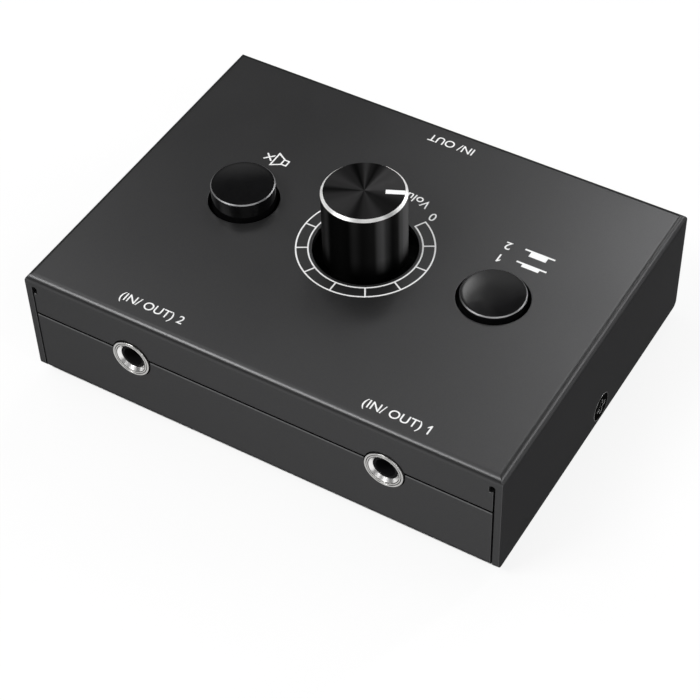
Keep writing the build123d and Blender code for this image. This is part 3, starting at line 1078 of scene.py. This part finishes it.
class InkSheet:
    """Flat printed shapes, built as one thin closed mesh on the panel."""

    def __init__(self, level: float) -> None:
        """Starts an empty sheet at the height of the panel that carries the ink."""
        self.level = level
        self.mesh = bmesh.new()

    def rows(self, points: list[Point]) -> tuple[list[bmesh.types.BMVert], list[bmesh.types.BMVert]]:
        """Corners of an outline at the foot and at the face of the ink.

        Args:
            points: the outline.

        Returns:
            The corners at the foot and those at the face.
        """
        low = [self.mesh.verts.new((x, y, self.level)) for x, y in points]
        high = [self.mesh.verts.new((x, y, self.level + INK)) for x, y in points]
        return low, high

    def patch(self, outline: list[Point]) -> None:
        """Adds a filled shape.

        Args:
            outline: its corners, anticlockwise seen from above.
        """
        low, high = self.rows(outline)
        self.mesh.faces.new(high)
        self.mesh.faces.new(low[::-1])
        for i in range(len(outline)):
            j = (i + 1) % len(outline)
            self.mesh.faces.new((low[i], low[j], high[j], high[i]))

    def band(self, outer: list[Point], inner: list[Point], closed: bool) -> None:
        """Adds a line with a width.

        Args:
            outer: points along its outer edge, anticlockwise seen from above.
            inner: points along its inner edge, one for each outer point.
            closed: whether the line runs back into its start.
        """
        out_low, out_high = self.rows(outer)
        in_low, in_high = self.rows(inner)
        count = len(outer)
        for i in range(count if closed else count - 1):
            j = (i + 1) % count
            self.mesh.faces.new((out_high[i], out_high[j], in_high[j], in_high[i]))
            self.mesh.faces.new((out_low[j], out_low[i], in_low[i], in_low[j]))
            self.mesh.faces.new((out_low[i], out_low[j], out_high[j], out_high[i]))
            self.mesh.faces.new((in_low[j], in_low[i], in_high[i], in_high[j]))
        if not closed:
            self.mesh.faces.new((in_low[0], out_low[0], out_high[0], in_high[0]))
            self.mesh.faces.new((out_low[-1], in_low[-1], in_high[-1], out_high[-1]))

    def stroke(self, points: list[Point], width: float, closed: bool) -> None:
        """Adds a line of one width with mitred corners.

        Args:
            points: corners along the middle of the line, anticlockwise where it closes.
            width: width of the line.
            closed: whether the line runs back into its start.
        """
        count = len(points)
        outer: list[Point] = []
        inner: list[Point] = []
        for i in range(count):
            here = Vector(points[i])
            before = here - Vector(points[i - 1]) if closed or i > 0 else Vector(points[1]) - here
            after = Vector(points[(i + 1) % count]) - here if closed or i < count - 1 else before
            before, after = before.normalized(), after.normalized()
            square = Vector((after.y, -after.x))
            mitre = (Vector((before.y, -before.x)) + square).normalized()
            reach = width / 2 / max(TIGHTEST_MITRE, mitre.dot(square))
            outer.append(tuple(here + mitre * reach))
            inner.append(tuple(here - mitre * reach))
        self.band(outer, inner, closed)

    def done(self, name: str) -> bpy.types.Mesh:
        """Closes the sheet.

        Args:
            name: name of the mesh.

        Returns:
            The mesh of all its shapes.
        """
        mesh = bpy.data.meshes.new(name)
        self.mesh.to_mesh(mesh)
        self.mesh.free()
        return mesh


@dataclass(frozen=True)
class FigureOne:
    """The figure 1 with its flag, in shares of the stem's width across and of half the height up."""

    left: float = -0.2
    right: float = 0.8
    flag: float = -1.45
    flag_top: float = 0.47
    flag_foot: float = 0.18
    notch: float = 0.5

    def draw(self, name: str, height: float, stem: float) -> bpy.types.Mesh:
        """Draws the figure as a thin mesh about its middle.

        Args:
            name: name of the mesh.
            height: height of the figure.
            stem: width of its stem.

        Returns:
            The mesh, with its foot at zero height.
        """
        outline = [
            (self.left, -1.0), (self.right, -1.0), (self.right, 1.0), (0.0, 1.0),
            (self.flag, self.flag_top), (self.flag, self.flag_foot), (self.left, self.notch),
        ]
        sheet = InkSheet(0.0)
        sheet.patch([(across * stem, up * height / 2) for across, up in outline])
        return sheet.done(name)


@dataclass(frozen=True)
class MuteSign:
    """A loudspeaker in outline with a cross beside it.

    Throat, mouth and magnet are places across the sign with half the height that the loudspeaker has there.
    """

    line: float = 0.3 * MM
    throat: Point = (1.45 * MM, 0.72 * MM)
    mouth: Point = (-0.15 * MM, 1.65 * MM)
    magnet: Point = (2.45 * MM, 0.62 * MM)
    cross_arm: float = 1.1 * MM
    cross_place: float = -1.3 * MM

    def draw(self, sheet: InkSheet, middle: Point) -> None:
        """Draws the sign.

        Args:
            sheet: sheet to draw on.
            middle: middle of the sign on the panel.
        """

        def at(points: list[Point]) -> list[Point]:
            """Places points about the sign's middle."""
            return [(middle[0] + x, middle[1] + y) for x, y in points]

        half = self.line / 2
        (throat, neck), (mouth, rim), (back, side) = self.throat, self.mouth, self.magnet
        edge = throat + half
        sheet.stroke(at([(throat, -neck), (throat, neck), (mouth, rim), (mouth, -rim)]), self.line, True)
        sheet.stroke(at([(edge, -side), (back, -side), (back, side), (edge, side)]), self.line, False)
        corners = [(self.cross_arm, half), (half, half), (half, self.cross_arm)]
        for _ in range(3):
            corners += [(-y, x) for x, y in corners[-3:]]
        sheet.patch(at([(SLANT * (x - y) + self.cross_place, SLANT * (x + y)) for x, y in corners]))


def lettering(name: str, words: str, height: float, weight: float) -> bpy.types.Mesh:
    """Sets words in the built-in face as a thin mesh about its middle.

    Args:
        name: name of the mesh.
        words: what is set.
        height: height of its capitals.
        weight: how much the strokes are thickened.

    Returns:
        The mesh, with its foot at zero height.
    """
    curve = bpy.data.curves.new(name, "FONT")
    curve.body = words
    curve.align_x = "CENTER"
    curve.size = height / CAPITAL_SHARE
    curve.extrude = INK / 2
    curve.offset = weight
    text = linked(name, curve)
    bpy.context.view_layer.update()
    mesh = bpy.data.meshes.new_from_object(text.evaluated_get(bpy.context.evaluated_depsgraph_get()))
    bpy.data.objects.remove(text)
    mesh.transform(Matrix.Translation((0.0, -height / 2, INK / 2)))
    return mesh


@dataclass
class PanelPrint:
    """White print on the panel: dial scale, numbers, function words and signs.

    Angles are degrees about the dial. Select_rows are the number, the top and the rise of each button sign.
    """

    inner_radius: float = 9.73 * MM
    outer_radius: float = 11.81 * MM
    line: float = 0.28 * MM
    first_angle: float = 60.0
    step: float = 30.0
    steps: int = 10
    number_place: Point = (6.4 * MM, 11.8 * MM)
    ten_gap: float = 0.65 * MM
    word_radius: float = 14.5 * MM
    word_angle: float = 88.0
    capital: float = 1.9 * MM
    stem: float = 0.29 * MM
    weight: float = 0.02 * MM
    label_size: float = 0.94
    left_label: Point = (-22.1 * MM, -29.55 * MM)
    right_label: Point = (23.9 * MM, -30.1 * MM)
    right_number: Point = (30.5 * MM, -30.25 * MM)
    rear_label: Point = (1.55 * MM, 29.75 * MM)
    mute_offset: float = -0.6 * MM
    mute_place: float = 11.3 * MM
    select_offset: float = 2.2 * MM
    select_number_gap: float = 5.7 * MM
    select_bar: float = 2.8 * MM
    select_block: float = 1.6 * MM
    select_line: float = 0.36 * MM
    select_rows: tuple[tuple[str, float, float], ...] = (
        ("2", 12.85 * MM, 1.1 * MM),
        ("1", 9.6 * MM, 0.62 * MM),
    )
    ink: bpy.types.Material = field(init=False)
    level: float = field(init=False)
    dial: Vector = field(init=False)

    def __post_init__(self) -> None:
        """Reads the panel's height and the dial's place from the frame."""
        self.ink = PRINT_WHITE.material()
        self.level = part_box("top_cover")[1].z
        self.dial = centre("knob_shell")

    def build(self) -> None:
        """Prints everything on the panel."""
        self.scale()
        self.word_round_dial("Volume")
        x, y = self.number_place
        ten = self.dial.x - x
        self.words("number_zero", "0", (self.dial.x + x, y), Side.REAR)
        self.words("number_ten_one", "1", (ten + self.ten_gap, y), Side.REAR)
        self.words("number_ten_zero", "0", (ten - self.ten_gap, y), Side.REAR)
        self.words("left_jack_label", "(IN/ OUT) 2", self.left_label, Side.FRONT, self.label_size)
        self.words("right_jack_label", "(IN/ OUT)", self.right_label, Side.FRONT, self.label_size)
        self.words("right_jack_number", "1", self.right_number, Side.FRONT)
        self.words("rear_jack_label", "IN/ OUT", self.rear_label, Side.REAR, self.label_size)
        self.mute_sign()
        self.select_signs()

    def put(self, name: str, mesh: bpy.types.Mesh) -> None:
        """Makes a printed piece that rides on the case."""
        finished(name, mesh, self.ink, "case")

    def words(self, name: str, words: str, place: Point, side: Side, size: float = 1.0) -> None:
        """Prints words or a number; a 1 by itself is drawn, with its flag.

        Args:
            name: name of the piece.
            words: what is printed.
            place: its middle on the panel.
            side: side from which it is read.
            size: size against the panel's other words.
        """
        height = size * self.capital
        if words == "1":
            mesh = FigureOne().draw(name, height, self.stem)
        else:
            mesh = lettering(name, words, height, self.weight)
        mesh.transform(Matrix.Translation((*place, self.level)) @ Matrix.Rotation(side.value, 4, "Z"))
        self.put(name, mesh)

    def polar(self, radius: float, degrees: float) -> Point:
        """Point about the dial's middle."""
        turn = math.radians(degrees)
        return self.dial.x + radius * math.cos(turn), self.dial.y + radius * math.sin(turn)

    def scale(self) -> None:
        """Prints the dial's two arcs and the ticks between them."""
        sheet = InkSheet(self.level)
        half = self.line / 2
        last = self.first_angle - self.step * self.steps
        fine = [last + i for i in range(round(self.first_angle - last) + 1)]
        for radius in (self.inner_radius, self.outer_radius):
            reach = math.degrees(half / radius)
            turns = [fine[0] - reach, *fine, fine[-1] + reach]
            outer = [self.polar(radius + half, a) for a in turns]
            inner = [self.polar(radius - half, a) for a in turns]
            sheet.band(outer, inner, False)
        low, high = self.inner_radius + half, self.outer_radius - half
        near, far = math.degrees(half / low), math.degrees(half / high)
        for i in range(self.steps + 1):
            angle = self.first_angle - self.step * i
            sheet.patch([
                self.polar(low, angle - near), self.polar(high, angle - far),
                self.polar(high, angle + far), self.polar(low, angle + near),
            ])
        self.put("dial_scale", sheet.done("dial_scale"))

    def word_round_dial(self, word: str) -> None:
        """Prints a word bent round the rear of the dial, its letters' tops towards the dial.

        Args:
            word: the word.
        """
        mesh = lettering("dial_word", word, self.capital, self.weight)
        for vertex in mesh.vertices:
            along, up, rise = vertex.co
            angle = self.word_angle + math.degrees(along / self.word_radius)
            vertex.co = (*self.polar(self.word_radius - up, angle), self.level + rise)
        self.put("dial_word", mesh)

    def mute_sign(self) -> None:
        """Prints the loudspeaker with its cross behind the mute button."""
        sheet = InkSheet(self.level)
        MuteSign().draw(sheet, (centre("mute_button").x + self.mute_offset, self.mute_place))
        self.put("mute_sign", sheet.done("mute_sign"))

    def select_signs(self) -> None:
        """Prints the numbers 2 and 1, each with a button shown up or pressed beside it."""
        x = centre("select_button").x + self.select_offset
        bar, block = self.select_bar, self.select_block
        for number, top, rise in self.select_rows:
            under = top - self.select_line
            sheet = InkSheet(self.level)
            sheet.patch([
                (x + bar, top), (x - bar, top), (x - bar, under), (x - block, under),
                (x - block, under - rise), (x + block, under - rise), (x + block, under), (x + bar, under),
            ])
            self.put("select_sign_" + number, sheet.done("select_sign_" + number))
            place = (x - self.select_number_gap, top - self.capital / 2)
            self.words("select_number_" + number, number, place, Side.REAR)


# Studio


@dataclass(frozen=True)
class Softbox:
    """A rectangular studio light that faces the box.

    Azimuth and elevation are degrees, width, height and distance are metres, and power is in watts.
    """

    name: str
    azimuth: float
    elevation: float
    width: float
    height: float
    power: float
    distance: float = 0.9

    def build(self) -> None:
        """Hangs the light."""
        lamp = bpy.data.lights.new(self.name, "AREA")
        lamp.shape = "RECTANGLE"
        lamp.size = self.width
        lamp.size_y = self.height
        lamp.energy = self.power
        light = linked(self.name, lamp)
        away = towards(self.azimuth, self.elevation)
        light.location = away * self.distance
        light.rotation_euler = away.to_track_quat("Z", "Y").to_euler()
        LOG.info("hung %s", self.name)


@dataclass
class Studio:
    """Pale floor, soft light and the camera.

    The walls, the sides of the ceiling and the ceiling's edge each fade over a span of the direction seen.
    """

    azimuth: float = 32.11
    elevation: float = 47.19
    roll: float = -1.96
    distance: float = 356.35 * MM
    target: Corner = (-0.31 * MM, -3.47 * MM, 0.43 * MM)
    lens: float = 103.67
    sensor: float = 36.0
    clip: Point = (0.01, 20.0)
    floor_half: float = 4.0
    ceiling: Colour = (0.9, 0.9, 0.9)
    right_ceiling: Colour = (0.05, 0.05, 0.05)
    front_wall: Colour = (0.08, 0.08, 0.08)
    rear_wall: Colour = (0.05, 0.05, 0.05)
    wall_fade: Point = (-0.2, 0.4)
    ceiling_fade: Point = (-0.1, 0.2)
    ceiling_edge: Point = (0.7, 0.77)
    lights: tuple[Softbox, ...] = (
        Softbox("key_softbox", -38.0, 50.0, 0.4, 0.27, 3.8),
        Softbox("camera_softbox", 40.0, 40.0, 0.5, 0.3, 1.5),
        Softbox("right_softbox", 124.0, 22.0, 0.4, 0.25, 1.4),
        Softbox("right_strip", 73.0, 30.0, 0.08, 0.4, 1.0),
        Softbox("rear_right_strip", 156.0, 24.0, 0.08, 0.4, 2.0),
        Softbox("left_strip", -88.0, 30.0, 0.06, 0.4, 0.35),
        Softbox("left_rear_softbox", 250.0, 42.0, 0.5, 0.5, 1.1),
        Softbox("rear_softbox", 188.0, 45.0, 0.24, 0.24, 0.9),
    )

    def build(self) -> None:
        """Sets the whole studio."""
        bpy.context.scene.view_settings.view_transform = "Standard"
        self.floor()
        self.sky()
        for light in self.lights:
            light.build()
        self.camera()

    def floor(self) -> None:
        """Lays the pale floor under the feet."""
        half = self.floor_half
        mesh = bpy.data.meshes.new("floor")
        corners = [(-half, -half, 0.0), (half, -half, 0.0), (half, half, 0.0), (-half, half, 0.0)]
        mesh.from_pydata(corners, [], [(0, 1, 2, 3)])
        mesh.materials.append(STUDIO_FLOOR.material())
        floor = linked("floor", mesh)

    def sky(self) -> None:
        """Lights the room: a ceiling that is pale at the left and dark at the right, and dark walls."""
        world = bpy.data.worlds.new("studio")
        world.use_nodes = True
        world.node_tree.nodes.clear()
        tree = Tree(world.node_tree)
        way = tree.parts(tree.add("ShaderNodeTexCoord").outputs["Generated"])
        wall = tree.blend(tree.span(way["Y"], self.wall_fade), self.front_wall, self.rear_wall)
        ceiling = tree.blend(tree.span(way["X"], self.ceiling_fade), self.ceiling, self.right_ceiling)
        colour = tree.blend(tree.span(way["Z"], self.ceiling_edge), wall, ceiling)
        room = tree.add("ShaderNodeBackground", {"Color": colour, "Strength": 1.0})
        tree.add("ShaderNodeOutputWorld", {"Surface": room.outputs[0]})
        bpy.context.scene.world = world

    def camera(self) -> None:
        """Sets the camera where the box is seen from."""
        back = towards(self.azimuth, self.elevation)
        right = towards(self.azimuth + 90.0, 0.0)
        up = back.cross(right)
        lean = math.radians(self.roll)
        across = right * math.cos(lean) + up * math.sin(lean)
        upward = up * math.cos(lean) - right * math.sin(lean)
        data = bpy.data.cameras.new("camera")
        data.lens = self.lens
        data.sensor_width = self.sensor
        data.clip_start, data.clip_end = self.clip
        camera = linked("camera", data)
        turned = Matrix((across, upward, back)).transposed().to_4x4()
        camera.matrix_world = Matrix.Translation(Vector(self.target) + back * self.distance) @ turned
        bpy.context.scene.camera = camera
        LOG.info("set the camera")


def main() -> None:
    """Builds every sub-assembly, the print and the studio."""
    logging.basicConfig(level=logging.INFO, format="%(message)s")
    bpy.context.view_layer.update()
    Effects.build()
    Case().build()
    VolumeDial().build()
    for button in ("mute", "select"):
        PushButton(button).build()
    for jack, side in (("left", Side.FRONT), ("right", Side.FRONT), ("rear", Side.REAR)):
        Jack(jack + "_jack", side).build()
    PanelPrint().build()
    Studio().build()


if __name__ == "__main__":
    main()
